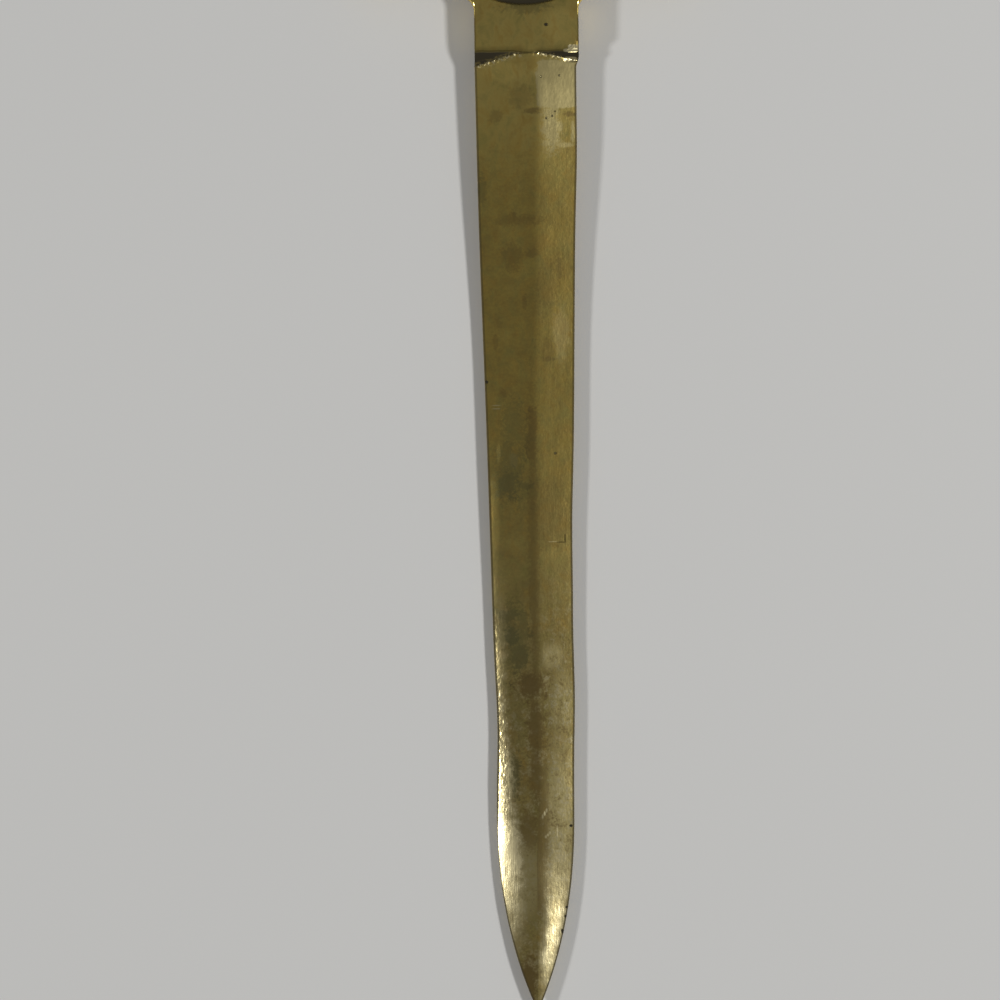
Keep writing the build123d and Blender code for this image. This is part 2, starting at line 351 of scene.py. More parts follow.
def mark_hollows(bm, reach=0.5, rounds=2):
    """Writes to each vertex how hollow, above 0, or proud, below 0, the surface is there."""
    layer = bm.verts.layers.float.new("hollow")
    bm.normal_update()
    for vert in bm.verts:
        bend = 0
        for edge in vert.link_edges:
            step = edge.other_vert(vert).co - vert.co
            bend += step.dot(vert.normal) / step.length_squared
        vert[layer] = min(max(2 * reach * bend / len(vert.link_edges), -1), 1)
    for _ in range(rounds):
        levels = {}
        for vert in bm.verts:
            around = [edge.other_vert(vert)[layer] for edge in vert.link_edges]
            levels[vert] = (vert[layer] + sum(around)) / (1 + len(around))
        for vert, level in levels.items():
            vert[layer] = level


def add_piece(node, finish, bm, crease=CREASE):
    """Places a finished mesh in the row's frame, in place of the node that it stands for."""
    for face in bm.faces:
        face.smooth = True
    for edge in bm.edges:
        edge.smooth = edge.calc_face_angle(0) < crease
    bm.transform(WORKING)
    name = f"finished_{node}"
    mesh = bpy.data.meshes.new(name)
    bm.to_mesh(mesh)
    bm.free()
    mesh.materials.append(finish)
    piece = bpy.data.objects.new(name, mesh)
    bpy.context.scene.collection.objects.link(piece)
    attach(piece, "root")
    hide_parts(node)


# Blade

LEFT, RIGHT = -1, 1
FACET_COLUMNS = 42  # columns of faces from the ridge to where an edge starts to round
RIM_COLUMNS = 7  # columns of faces round an edge, down to the middle plane
HALF_COLUMNS = FACET_COLUMNS + RIM_COLUMNS
NOSE_ROWS = 7  # rows of faces along the rounding of the tip
FLARE_ROWS = 10  # rows of faces along the flares

# Waver of the hand-filed outline: centre from the tip, how far it stands out, and its reach
WAVER = {
    LEFT: ((120, 0.2, 24), (43, -0.4, 9)),
    RIGHT: ((130, 0.2, 9), (74, -0.2, 9), (47, 0.2, 7)),
}

# Wander of the ridge to the right of the middle: distance from the plunge, and how far
RIDGE_WANDER = ((0, 0.3), (6, 1.3), (26, 0.7), (38, 0.6), (56, 0.2), (92, 0.25), (112, 0.55), (124, 0.1))

# Share of a bevel's fall that comes late, as a roll over to its edge: distance from the tip, and share
ROLL = {
    LEFT: (
        (8, 0.2), (12, 0.6), (17, 1.0), (24, 1.0), (28.5, 0.75), (35, 0.5), (41, 0.26), (46, 0.19),
        (51, 0.24), (58, 0.15), (61, 0.1), (64, 0.18), (68, 0.1), (76, 0.14), (84, 0.08), (92, 0.0),
    ),
    RIGHT: ((20, 0.0), (26, 0.1), (60, 0.02), (90, 0.0)),
}

# How late that roll comes: distance from the tip, and power
LATENESS = ((10, 1.4), (16, 1.7), (22, 2.1), (28, 3.0), (34, 4.2), (46, 5.0), (60, 7.0))

# Share of the right bevel's fall that comes halfway, as a shoulder: distance from the tip, and share
SHOULDER = ((3, 0.0), (6, 0.12), (10, 0.34), (14, 0.33), (17, 0.12), (21, 0.0))

# Bend down of the blade, which its shadows show: centre from the tip, how far, and its reach
SAG = ((103, 0.85, 22), (62, 0.55, 24))

# How far the left edge is ground down: distance from the tip, and how far
GROUND = ((6, 0.0), (14, 0.14), (20, 0.25), (25, 0.24), (34, 0.0))


class BladeForm:
    """The upper face of the blade: a height for every place, in working millimetres."""

    nose = 0.5  # length of the rounding at the tip
    rim = 0.24  # rounding of the edges
    sharp_rim = 0.12  # rounding of the ricasso's edges
    flare_rim = 0.85  # what the flare adds to it
    rim_limit = 0.97  # share of an edge's height that its rounding may take
    crest = 0.1  # softness of the ridge, as a share of a bevel
    tip_crest = 0.2  # share of that softness near the tip
    crest_run = (18, 60)  # stretch from the tip over which it grows
    wander_run = 12  # stretch from the tip over which the ridge starts to wander
    shoulder_run = (0.3, 1)  # stretch of the right bevel that its shoulder takes, as shares of it
    bent = (0.8, 30)  # how far the tip is bent up, and over which length
    plunge_fade = 2.4  # run over which the ricasso's width becomes the bevels'
    plunge_drop = 0.1  # how far below the bevels' start the plunge turns down
    plunge_waver = 0.12  # how far it wavers there
    plunge_arch = 0.27  # how much closer to the guard it turns down on both sides of the ridge
    arch_run = (0.5, 2.2)  # distances from the ridge between which that comes
    plunge_roll = 0.55  # softness of the plunge's upper edge
    plunge_foot = 0.05  # softness of the plunge's lower edge
    foot_reach = 0.2  # how far the bevel and the plunge may be apart at its foot
    foot_run = (0.4, 1.2)  # distances from the ridge between which the foot starts
    bead_height = 0.12  # beads of metal left along the plunge's foot
    bead_pitch = 0.4
    worn_from = 5.8  # where the worn right end of the plunge starts
    worn_lean = 0.57  # how its upper bound rises to the right
    worn_slopes = (0.13, 0.36)  # how steep it is worn below the plunge and above it
    worn_change = 0.4  # run over which the one slope becomes the other
    worn_foot = (-1.6, -1.2)  # where the wear starts, from the end of the ricasso's flat
    worn_head = (0.1, -0.25)  # where it ends, from its upper bound
    least_height = 1 / 6  # share of the edges' thickness that wear leaves at least
    ricasso_shift = 0.2  # how far right of the middle the ricasso was filed

    def __init__(self, size):
        self.size = size
        self.plunge_y = TIP_Y + size.bevel_length
        self.flare_y = -size.shoulder_land - size.flare_radius
        self.slopes = {LEFT: math.tan(size.left_plunge), RIGHT: math.tan(size.right_plunge)}

    def along(self, what, from_tip):
        """Width or ridge thickness there: two straight runs, then a curve to the tip."""
        size = self.size
        root, neck, waist, belly, tip = (
            getattr(size, f"{place}_{what}") for place in ("root", "neck", "waist", "belly", "tip")
        )
        neck_at = size.bevel_length - size.taper_length
        if from_tip >= neck_at:
            return neck + (root - neck) * (from_tip - neck_at) / size.taper_length
        taper = (neck - waist) / (neck_at - size.point_length)
        if from_tip >= size.point_length:
            return waist + taper * (from_tip - size.point_length)
        leaving = waist - taper * size.point_length / 3
        near = from_tip / size.point_length
        far = 1 - near
        return near**3 * waist + 3 * near**2 * far * leaving + 3 * near * far**2 * belly + far**3 * tip

    def rounding(self, from_tip):
        """Shrinks the last sections to a rounded tip."""
        if from_tip >= self.nose:
            return 1
        return math.sqrt(max(1 - (1 - from_tip / self.nose) ** 2, 0))

    def half_width(self, side, y):
        """From the middle line to the edge."""
        size = self.size
        if y > 0:
            return size.tang_width / 2
        from_tip = y - TIP_Y
        bevelled = self.along("width", from_tip) / 2
        bevelled += sum(out * bump(from_tip, centre, reach) for centre, out, reach in WAVER[side])
        rise = min(max(y - self.flare_y, 0), size.flare_radius)
        flare = size.flare_radius - math.sqrt(size.flare_radius**2 - rise**2)
        ricasso = size.ricasso_width / 2 + side * self.ricasso_shift + flare
        share = ease(self.plunge_y - self.plunge_fade, self.plunge_y - self.plunge_fade / 4, y)
        return (bevelled + (ricasso - bevelled) * share) * self.rounding(from_tip)

    def ridge(self, y):
        """How far right of the middle the ridge is."""
        if y > 0:
            return 0
        return through(RIDGE_WANDER, self.plunge_y - y) * ease(0, self.wander_run, y - TIP_Y)

    def bevel(self, side, share, from_tip):
        """Height of a bevel at a share of the way from the ridge to the edge."""
        top = self.along("ridge", from_tip) / 2
        edge = self.size.edge_thickness / 2
        if side == LEFT:
            edge -= through(GROUND, from_tip)
        soft = self.crest * (self.tip_crest + (1 - self.tip_crest) * ease(*self.crest_run, from_tip))
        fallen = (math.hypot(share, soft) - soft) / (math.hypot(1, soft) - soft)
        fallen += (share ** through(LATENESS, from_tip) - fallen) * through(ROLL[side], from_tip)
        if side == RIGHT:
            fallen += (ease(*self.shoulder_run, share) - fallen) * through(SHOULDER, from_tip)
        return (top - (top - edge) * fallen) * self.rounding(from_tip)

    def ramp(self, side, x, y):
        """Height of the filed plunge, before the ricasso's flat and the bevel cut it off."""
        waver = self.plunge_waver * noise.noise(Vector((x * 0.5, 4.0, 0)))
        waver += self.plunge_arch * ease(*self.arch_run, abs(x - self.ridge(y)))
        above = y - self.plunge_y + self.plunge_drop - waver
        return self.size.ricasso_thickness / 2 + above * self.slopes[side]

    def foot(self, bevel, ramp, x, y):
        """1 where the plunge meets the bevel, and 0 away from there and at the ridge."""
        return bump(bevel, ramp, self.foot_reach) * ease(*self.foot_run, abs(x - self.ridge(y)))

    def height(self, side, share, x, y):
        """Height of the upper face."""
        size = self.size
        if y > 0:
            return size.tang_thickness / 2
        bevel = self.bevel(side, share, y - TIP_Y)
        if y < self.plunge_y - 2 * self.plunge_fade:
            return bevel
        ramp = self.ramp(side, x, y)
        plunge = smooth_smaller(size.ricasso_thickness / 2, ramp, self.plunge_roll)
        beads = self.bead_height * noise.noise(Vector((x, y, 0)) / self.bead_pitch)
        beads *= self.foot(bevel, ramp, x, y)
        height = smooth_larger(bevel, plunge, self.plunge_foot) + beads - self.wear(x, y)
        return max(height, size.edge_thickness * self.least_height)

    def wear(self, x, y):
        """How much is worn off the right end of the plunge."""
        start = self.plunge_y
        below, above = self.worn_slopes
        slope = below + (above - below) * ease(start - self.worn_change, start, y)
        out = max(x - self.worn_from, 0)
        bound = start + self.worn_lean * out
        return slope * out * ease(*self.worn_foot, y - start) * ease(*self.worn_head, y - bound)

    def soil(self, column, x, y):
        """Painted shade on the plunge, beads at its foot, and nearness to an edge, each from 0 to 1."""
        side = RIGHT if column > 0 else LEFT
        edge = max(abs(column) - FACET_COLUMNS + 1, 0) / (RIM_COLUMNS + 1)
        if y > 0 or y < self.plunge_y - 2 * self.plunge_fade:
            return Vector((0, 0, edge))
        bevel = self.bevel(side, min(abs(column) / FACET_COLUMNS, 1), y - TIP_Y)
        ramp = self.ramp(side, x, y)
        below = self.size.ricasso_thickness / 2 - ramp
        # Painted shade on the plunge face, where it stands above the bevel: faint where it starts below the
        # ricasso's flat, full further down.
        faint_shade = 0.25 * ease(-0.5, -0.2, below)
        deep_shade = 0.75 * ease(-0.2, 0.12, below)
        grime_and_shade = ease(0, 0.08, ramp - bevel) * (faint_shade + deep_shade)
        return Vector((grime_and_shade, self.foot(bevel, ramp, x, y), edge))

    def rounding_radius(self, edge_height, y):
        """Radius that rounds an edge: small at the ricasso, and larger where that flares out."""
        ricasso = self.sharp_rim + self.flare_rim * ease(self.flare_y, 0, y)
        share = ease(self.plunge_y - self.plunge_fade, self.plunge_y, y)
        return min(self.rim + (ricasso - self.rim) * share, self.rim_limit * edge_height)

    def bend(self, y):
        """How far the blade is bent up there; where it is below 0, the blade sags."""
        from_tip = y - TIP_Y
        height, run = self.bent
        sag = sum(depth * bump(from_tip, centre, reach) for centre, depth, reach in SAG)
        return height * max(1 - from_tip / run, 0) ** 2 - sag

    def marks(self, share, x, y):
        """Marks of file and hammer, which fade towards the edges and the tip."""
        if y > 0:
            return 0
        coarse = noise.noise(Vector((x * 0.4, y * 0.13, 7.0)))
        fine = 0.5 * noise.noise(Vector((x, y * 0.4, 3.0)))
        return (coarse + fine) * (1 - share**4) * ease(0, 6, y - TIP_Y)

    def point(self, column, y):
        """Vertex of a column, counted from the ridge, at y."""
        side = RIGHT if column > 0 else LEFT
        out = abs(column)
        ridge = self.ridge(y)
        half = self.half_width(side, y)
        edge_height = self.height(side, 1, side * half, y)
        rim = self.rounding_radius(edge_height, y)
        start = half - rim
        if out <= FACET_COLUMNS:
            share = out / FACET_COLUMNS
            x = ridge + (side * start - ridge) * share
            z = self.height(side, share, x, y) + self.size.unevenness * self.marks(share, x, y)
            return Vector((x, y, z))
        if out == HALF_COLUMNS:
            return Vector((side * half, y, 0))
        turn = math.pi / 2 * (out - FACET_COLUMNS) / (RIM_COLUMNS - 1)
        return Vector((side * (start + rim * math.sin(turn)), y, edge_height - rim + rim * math.cos(turn)))

    def rows(self):
        """Places of the rows of vertices, from the tip to the tang's end, closer where the shape turns."""
        size = self.size
        turns = [math.pi / 2 * step / NOSE_ROWS for step in range(NOSE_ROWS + 1)]
        rows = [TIP_Y + self.nose * (1 - math.cos(turn)) for turn in turns]
        for end, pitch in (
            (TIP_Y + 8, 0.25),
            (self.plunge_y - 3.2, 0.6),
            (self.plunge_y + 0.6, 0.075),
            (self.flare_y, 0.5),
        ):
            start = rows[-1]
            count = max(round((end - start) / pitch), 1)
            rows += [start + (end - start) * (step + 1) / count for step in range(count)]
        turns = [math.pi / 2 * step / FLARE_ROWS for step in range(1, FLARE_ROWS + 1)]
        rows += [self.flare_y + size.flare_radius * math.sin(turn) for turn in turns]
        return rows + [0.0, WELD * 5, size.tang_length]


def blade_mesh(size):
    """Blade with its ricasso and tang: the upper face shaped from a grid, and mirrored."""
    form = BladeForm(size)
    rows = form.rows()
    bm = bmesh.new()
    soil = bm.verts.layers.float_vector.new("soil")
    bmesh.ops.create_grid(bm, x_segments=2 * HALF_COLUMNS, y_segments=len(rows) - 1, size=1)
    for vert in bm.verts:
        column = round(vert.co.x * HALF_COLUMNS)
        row = round((vert.co.y + 1) / 2 * (len(rows) - 1))
        vert.co = form.point(column, rows[row])
        vert[soil] = form.soil(column, vert.co.x, vert.co.y)
    upper = bm.verts[:] + bm.edges[:] + bm.faces[:]
    bmesh.ops.mirror(bm, geom=upper, matrix=Matrix(), merge_dist=WELD, axis="Z")
    bmesh.ops.remove_doubles(bm, verts=bm.verts, dist=WELD)
    bmesh.ops.holes_fill(bm, edges=[edge for edge in bm.edges if edge.is_boundary])
    bmesh.ops.recalc_face_normals(bm, faces=bm.faces)
    for vert in bm.verts:
        vert.co.z += form.bend(vert.co.y)
    return bm


# Hilt

STEPS = 96  # faces round a turned piece
SLIP = 0.05  # clearance round a spigot in its bore
SOCKET_ROOM = 0.1  # room left beyond the end of a spigot


class HiltPlaces:
    """Where the pieces of the hilt lie along the tang and its rod."""

    def __init__(self, size):
        self.lower_collar = size.guard_height
        self.lower_grip = self.lower_collar + size.collar_height
        self.knop = self.lower_grip + size.grip_length
        self.upper_grip = self.knop + 2 * size.knop_bead_height + size.knop_ring_height
        self.upper_collar = self.upper_grip + size.grip_length
        self.pommel = self.upper_collar + size.collar_height
        self.pommel_centre = self.pommel + math.sqrt(size.pommel**2 - size.pommel_seat**2) / 2
        self.washer = self.pommel_centre + math.sqrt(size.pommel**2 - size.pommel_top**2) / 2
        self.nut = self.washer + size.washer_thickness

    def seams(self):
        """Where one piece ends and the next begins."""
        return sorted(set(vars(self).values()) - {self.pommel_centre})


def ball_outline(middle, radius, low, high, steps):
    """Points of a turned ball's outline, from one angle over its middle to another."""
    turns = [low + (high - low) * step / steps for step in range(steps + 1)]
    return [(radius * math.cos(turn), middle + radius * math.sin(turn)) for turn in turns]


def turned_piece(outline, soft_edge):
    """Bored piece turned from an outline, with its edges softened."""
    bm = spun(outline, STEPS)
    soften(bm, soft_edge)
    return bm


def arm_mesh(size):
    """Right arm of the guard with its bead and ball, turned about Y and laid along X."""
    root, neck, ball = size.arm_root / 2, size.arm_neck / 2, size.ball / 2
    start = size.boss_width / 4
    ball_at = size.guard_width / 2 - ball
    ball_start = ball_at - math.sqrt(ball**2 - neck**2)
    bead_at = ball_start - size.arm_bead
    outline = [(0, start)]
    outline += bow((root, start), (neck, bead_at), -size.arm_sag, steps=16)
    outline += bow((neck, bead_at), (neck, ball_start), size.arm_bead / 2, steps=14)[1:]
    low = math.atan2(ball_start - ball_at, neck)
    outline += ball_outline(ball_at, ball, low, math.pi / 2, steps=32)[1:]
    outline[-1] = (0, ball_at + ball)
    bm = spun(outline, STEPS, closed=False)
    lay = Matrix.Translation((0, size.guard_height / 2, 0)) @ Matrix.Rotation(-math.pi / 2, 4, "Z")
    bm.transform(lay)
    return bm


def boss_mesh(size):
    """Elliptical boss with rounded rims."""
    bm = bmesh.new()
    bmesh.ops.create_circle(bm, cap_ends=True, segments=STEPS, radius=1)
    stand = Matrix.Rotation(math.pi / 2, 4, "X")
    bm.transform(Matrix.Diagonal((size.boss_width / 2, 1, size.boss_depth / 2, 1)) @ stand)
    top = bmesh.ops.extrude_face_region(bm, geom=bm.faces[:])["geom"]
    raised = [item for item in top if isinstance(item, bmesh.types.BMVert)]
    bmesh.ops.translate(bm, verts=raised, vec=(0, size.guard_height, 0))
    bmesh.ops.recalc_face_normals(bm, faces=bm.faces)
    soften(bm, size.boss_rim, segments=5)
    return bm


def lip_mesh(size, mouth, overlap=1.0):
    """Bowed lip on the front of the boss. The mouth is half the gap that the ricasso stands in."""
    half = size.lip_width / 2
    radius = (half**2 + size.lip_drop**2) / (2 * size.lip_drop)
    bm = bmesh.new()
    bmesh.ops.create_grid(bm, x_segments=32, y_segments=1, size=1)
    for vert in bm.verts:
        x = half * vert.co.x
        outer = size.boss_depth / 2 * math.sqrt(1 - (2 * x / size.boss_width) ** 2)
        vert.co = (x, overlap, mouth if vert.co.y < 0 else outer)
    bottom = bmesh.ops.extrude_face_region(bm, geom=bm.faces[:])["geom"]
    for vert in (item for item in bottom if isinstance(item, bmesh.types.BMVert)):
        vert.co.y = radius - size.lip_drop - math.sqrt(radius**2 - vert.co.x**2)
    bmesh.ops.recalc_face_normals(bm, faces=bm.faces)
    return bm


def turned_round(bm):
    """The mesh turned half round the tang."""
    bmesh.ops.rotate(bm, verts=bm.verts, cent=(0, 0, 0), matrix=Matrix.Rotation(math.pi, 3, "Y"))
    return bm


def guard_mesh(size, mouth, voxel=0.17, passes=4):
    """Guard cast in one: boss, arms and lips run together, with the soft edges of a casting."""
    arms = [arm_mesh(size), turned_round(arm_mesh(size))]
    lips = [lip_mesh(size, mouth), turned_round(lip_mesh(size, mouth))]
    loose = joined([boss_mesh(size), *arms, *lips])
    bm = worked(loose, "REMESH", mode="VOXEL", voxel_size=voxel, adaptivity=0)
    for _ in range(passes):
        bmesh.ops.smooth_vert(
            bm, verts=bm.verts, factor=0.5, use_axis_x=True, use_axis_y=True, use_axis_z=True
        )
    return bm


def collar_mesh(size, bottom, spigot_below):
    """Bead-shaped collar with a spigot above it, and one below if asked."""
    seat, spigot, hole = size.collar_seat / 2, size.grip_bore / 2 - SLIP, size.rod_hole / 2
    top = bottom + size.collar_height
    head = top + size.spigot
    outline = bow((seat, bottom), (seat, top), (size.collar - size.collar_seat) / 2, steps=20)
    outline += [(spigot, top), (spigot, head), (hole, head)]
    if spigot_below:
        foot = bottom - size.spigot
        outline += [(hole, foot), (spigot, foot), (spigot, bottom)]
    else:
        outline += [(hole, bottom)]
    return turned_piece(outline, size.soft_edge)


def grip_mesh(size, end_y, middle_y, rows=48, faces_per_flute=16):
    """Bored and fluted half of the grip, which swells from end_y to middle_y, the knop's side."""
    bore, end, middle = size.grip_bore / 2, size.grip_end / 2, size.grip_middle / 2
    swell = middle - end
    radius = (size.grip_length**2 + swell**2) / (2 * swell)
    away = 1 if end_y > middle_y else -1
    outline = []
    for row in range(rows + 1):
        distance = size.grip_length * row / rows
        outline.append((middle - radius + math.sqrt(radius**2 - distance**2), middle_y + away * distance))
    outline += [(bore, end_y), (bore, middle_y)]
    bm = spun(outline, size.flute_count * faces_per_flute)
    soften(bm, size.soft_edge)
    reach = math.sqrt(2 * size.flute_radius * size.flute_depth - size.flute_depth**2)
    first, last = size.flute_margin, size.grip_length - size.flute_margin
    pitch = math.tau / size.flute_count
    for vert in bm.verts:
        out = math.hypot(vert.co.x, vert.co.z)
        if out < end - 2 * size.soft_edge:
            continue
        turn = math.atan2(vert.co.z, vert.co.x)
        sideways = out * abs(turn - pitch * round(turn / pitch))
        distance = away * (vert.co.y - middle_y)
        beyond = max(first - distance, distance - last, 0)
        near = math.hypot(sideways, beyond) / reach
        if near < 1:
            depth = size.flute_depth * (1 - near**2)
            vert.co.x *= (out - depth) / out
            vert.co.z *= (out - depth) / out
    return bm


def knop_mesh(size, bottom):
    """Ring between two beads, with a spigot at each end."""
    seat, spigot, hole = size.knop_seat / 2, size.grip_bore / 2 - SLIP, size.rod_hole / 2
    bead = (size.knop_bead_height, (size.knop_bead - size.knop_seat) / 2)
    ring = (size.knop_ring_height, (size.knop_ring - size.knop_seat) / 2)
    outline = []
    y = bottom
    for height, sag in (bead, ring, bead):
        outline += bow((seat, y), (seat, y + height), sag, steps=16)[:-1]
        y += height
    head, foot = y + size.spigot, bottom - size.spigot
    outline += [(seat, y), (spigot, y), (spigot, head), (hole, head), (hole, foot), (spigot, foot)]
    outline += [(spigot, bottom)]
    return turned_piece(outline, size.soft_edge)


def pommel_mesh(size, places):
    """Ball with a flat seat below and above, bored for the rod and for the collar's spigot."""
    ball, seat, top = size.pommel / 2, size.pommel_seat / 2, size.pommel_top / 2
    hole, socket = size.rod_hole / 2, size.grip_bore / 2
    low = math.atan2(places.pommel - places.pommel_centre, seat)
    high = math.atan2(places.washer - places.pommel_centre, top)
    outline = ball_outline(places.pommel_centre, ball, low, high, steps=48)
    socket_end = places.pommel + size.spigot + SOCKET_ROOM
    outline += [(hole, places.washer), (hole, socket_end), (socket, socket_end), (socket, places.pommel)]
    return turned_piece(outline, size.soft_edge)


def washer_mesh(size, bottom):
    """Flat washer with softened rims."""
    out, hole, top = size.washer / 2, size.rod_hole / 2, bottom + size.washer_thickness
    outline = [(out, bottom), (out, top), (hole, top), (hole, bottom)]
    return turned_piece(outline, size.soft_edge / 2)


def nut_mesh(size, bottom, chamfer=0.6, past=0.2, clear=0.1, sunk=0.3):
    """Domed nut: a hexagon with its corners turned off, and a dome run into it.

    The chamfer is a share of what the corners stand out. The shape that turns them off goes past the
    hexagon's ends and clear of its corners, and the dome is sunk to a height over its bottom.
    """
    across = size.nut_flats / 2
    corner = across / math.cos(math.pi / 6)
    top = bottom + size.nut_hexagon
    hexagon = bmesh.new()
    bmesh.ops.create_cone(
        hexagon, cap_ends=True, segments=6, radius1=corner, radius2=corner, depth=size.nut_hexagon
    )
    hexagon.transform(
        Matrix.Translation((0, (bottom + top) / 2, 0)) @ Matrix.Rotation(math.pi / 2, 4, "X")
    )
    turned_off = (corner - across) * chamfer
    outer = corner + clear
    blank = [(0, bottom - past), (across, bottom - past), (across, bottom), (outer, bottom + turned_off)]
    blank += [(outer, top - turned_off), (across, top), (across, top + past), (0, top + past)]
    body = worked(hexagon, "BOOLEAN", spun(blank, STEPS, closed=False), operation="INTERSECT")
    dome = size.nut_dome / 2
    shoulder = bottom + size.nut_height - dome
    outline = [(0, bottom + sunk), (dome, bottom + sunk)]
    outline += ball_outline(shoulder, dome, 0, math.pi / 2, steps=16)
    outline[-1] = (0, bottom + size.nut_height)
    bm = worked(body, "BOOLEAN", spun(outline, STEPS, closed=False), operation="UNION")
    bmesh.ops.remove_doubles(bm, verts=bm.verts, dist=WELD)
    return bm


# Finishes


class Shade:
    """A socket of a finish. Sums on it add Math nodes."""

    def __init__(self, finish, socket):
        self.finish = finish
        self.socket = socket

    def math(self, operation, *values):
        return self.finish.add("ShaderNodeMath", {"operation": operation}, dict(enumerate(values)))

    def __add__(self, other):
        return self.math("ADD", self, other)

    def __sub__(self, other):
        return self.math("SUBTRACT", self, other)

    def __rsub__(self, other):
        return self.math("SUBTRACT", other, self)

    def __mul__(self, other):
        return self.math("MULTIPLY", self, other)

    def __truediv__(self, other):
        return self.math("DIVIDE", self, other)

    def __pow__(self, other):
        return self.math("POWER", self, other)

    def __abs__(self):
        return self.math("ABSOLUTE", self)

    __radd__ = __add__
    __rmul__ = __mul__

    def larger(self, other):
        return self.math("MAXIMUM", self, other)

    def smaller(self, other):
        return self.math("MINIMUM", self, other)

    def rise(self, low, high):
        """0 up to low, 1 from high, and a smooth rise between them; a fall where low is the larger."""
        sockets = {"Value": self, "From Min": low, "From Max": high}
        return self.finish.add("ShaderNodeMapRange", {"interpolation_type": "SMOOTHSTEP"}, sockets)


class Finish:
    """A material under construction, with the place on the opener in working millimetres."""

    def __init__(self, name):
        self.material = bpy.data.materials.new(f"aged_{name}")
        self.material.use_nodes = True
        self.tree = self.material.node_tree
        self.tree.nodes.clear()

    def add(self, kind, settings=None, sockets=None, output=0):
        """Adds a node: its type, its settings, then the values or links of its sockets."""
        node = self.tree.nodes.new(kind)
        for name, value in (settings or {}).items():
            setattr(node, name, value)
        for name, value in (sockets or {}).items():
            if isinstance(value, Shade):
                self.tree.links.new(value.socket, node.inputs[name])
            else:
                node.inputs[name].default_value = value
        return Shade(self, node.outputs[output]) if node.outputs else None

    def place(self):
        """Object coordinates turned into working millimetres."""
        seat, turn, scale = WORKING.decompose()
        coordinates = self.add("ShaderNodeTexCoord", output="Object")
        sockets = {"Vector": coordinates, "Location": seat, "Rotation": turn.to_euler(), "Scale": scale}
        return self.add("ShaderNodeMapping", {"vector_type": "TEXTURE"}, sockets)

    def split(self, vector):
        """The three parts of a vector."""
        node = self.add("ShaderNodeSeparateXYZ", None, {0: vector}).socket.node
        return [Shade(self, socket) for socket in node.outputs]

    def stretched(self, vector, scale, shift=(0, 0, 0)):
        """The place scaled by its own amount each way, so that a pattern runs along one of them."""
        return self.add("ShaderNodeMapping", None, {"Vector": vector, "Scale": scale, "Location": shift})

    def cloud(self, vector, scale, detail=3, roughness=0.55, distortion=0):
        """Cloudy noise from 0 to 1, with features about 1 / scale apart."""
        sockets = {
            "Vector": vector, "Scale": scale, "Detail": detail, "Roughness": roughness,
            "Distortion": distortion,
        }
        return self.add("ShaderNodeTexNoise", {"normalize": True}, sockets)

    def mix(self, first, second, share):
        """Colour between two colours."""
        sockets = {0: share}
        for index, tint in ((6, first), (7, second)):
            sockets[index] = tint if isinstance(tint, Shade) else (*tint, 1)
        return self.add("ShaderNodeMix", {"data_type": "RGBA", "clamp_factor": True}, sockets, 2)

    def layered(self, tint, *layers):
        """Colour with others laid over it in turn, each with its share."""
        for over, share in layers:
            tint = self.mix(tint, over, share)
        return tint

    def metal(self, tint, roughness, metallic, height, depth):
        """Ends the finish in a metal surface. The height is in units of depth, in millimetres."""
        normal = self.add(
            "ShaderNodeBump", None, {"Strength": 1, "Distance": depth * MM, "Height": height}, "Normal"
        )
        sockets = {
            "Base Color": tint, "Roughness": roughness, "Metallic": metallic, "Specular IOR Level": 0.2,
            "Normal": normal,
        }
        surface = self.add("ShaderNodeBsdfPrincipled", None, sockets)
        self.add("ShaderNodeOutputMaterial", None, {"Surface": surface})
        return self.material


class Spot(NamedTuple):
    """Mark on the blade: its place right of the middle and from the tip, its half sizes and its strength."""

    right: float
    from_tip: float
    half_width: float
    half_length: float
    strength: float


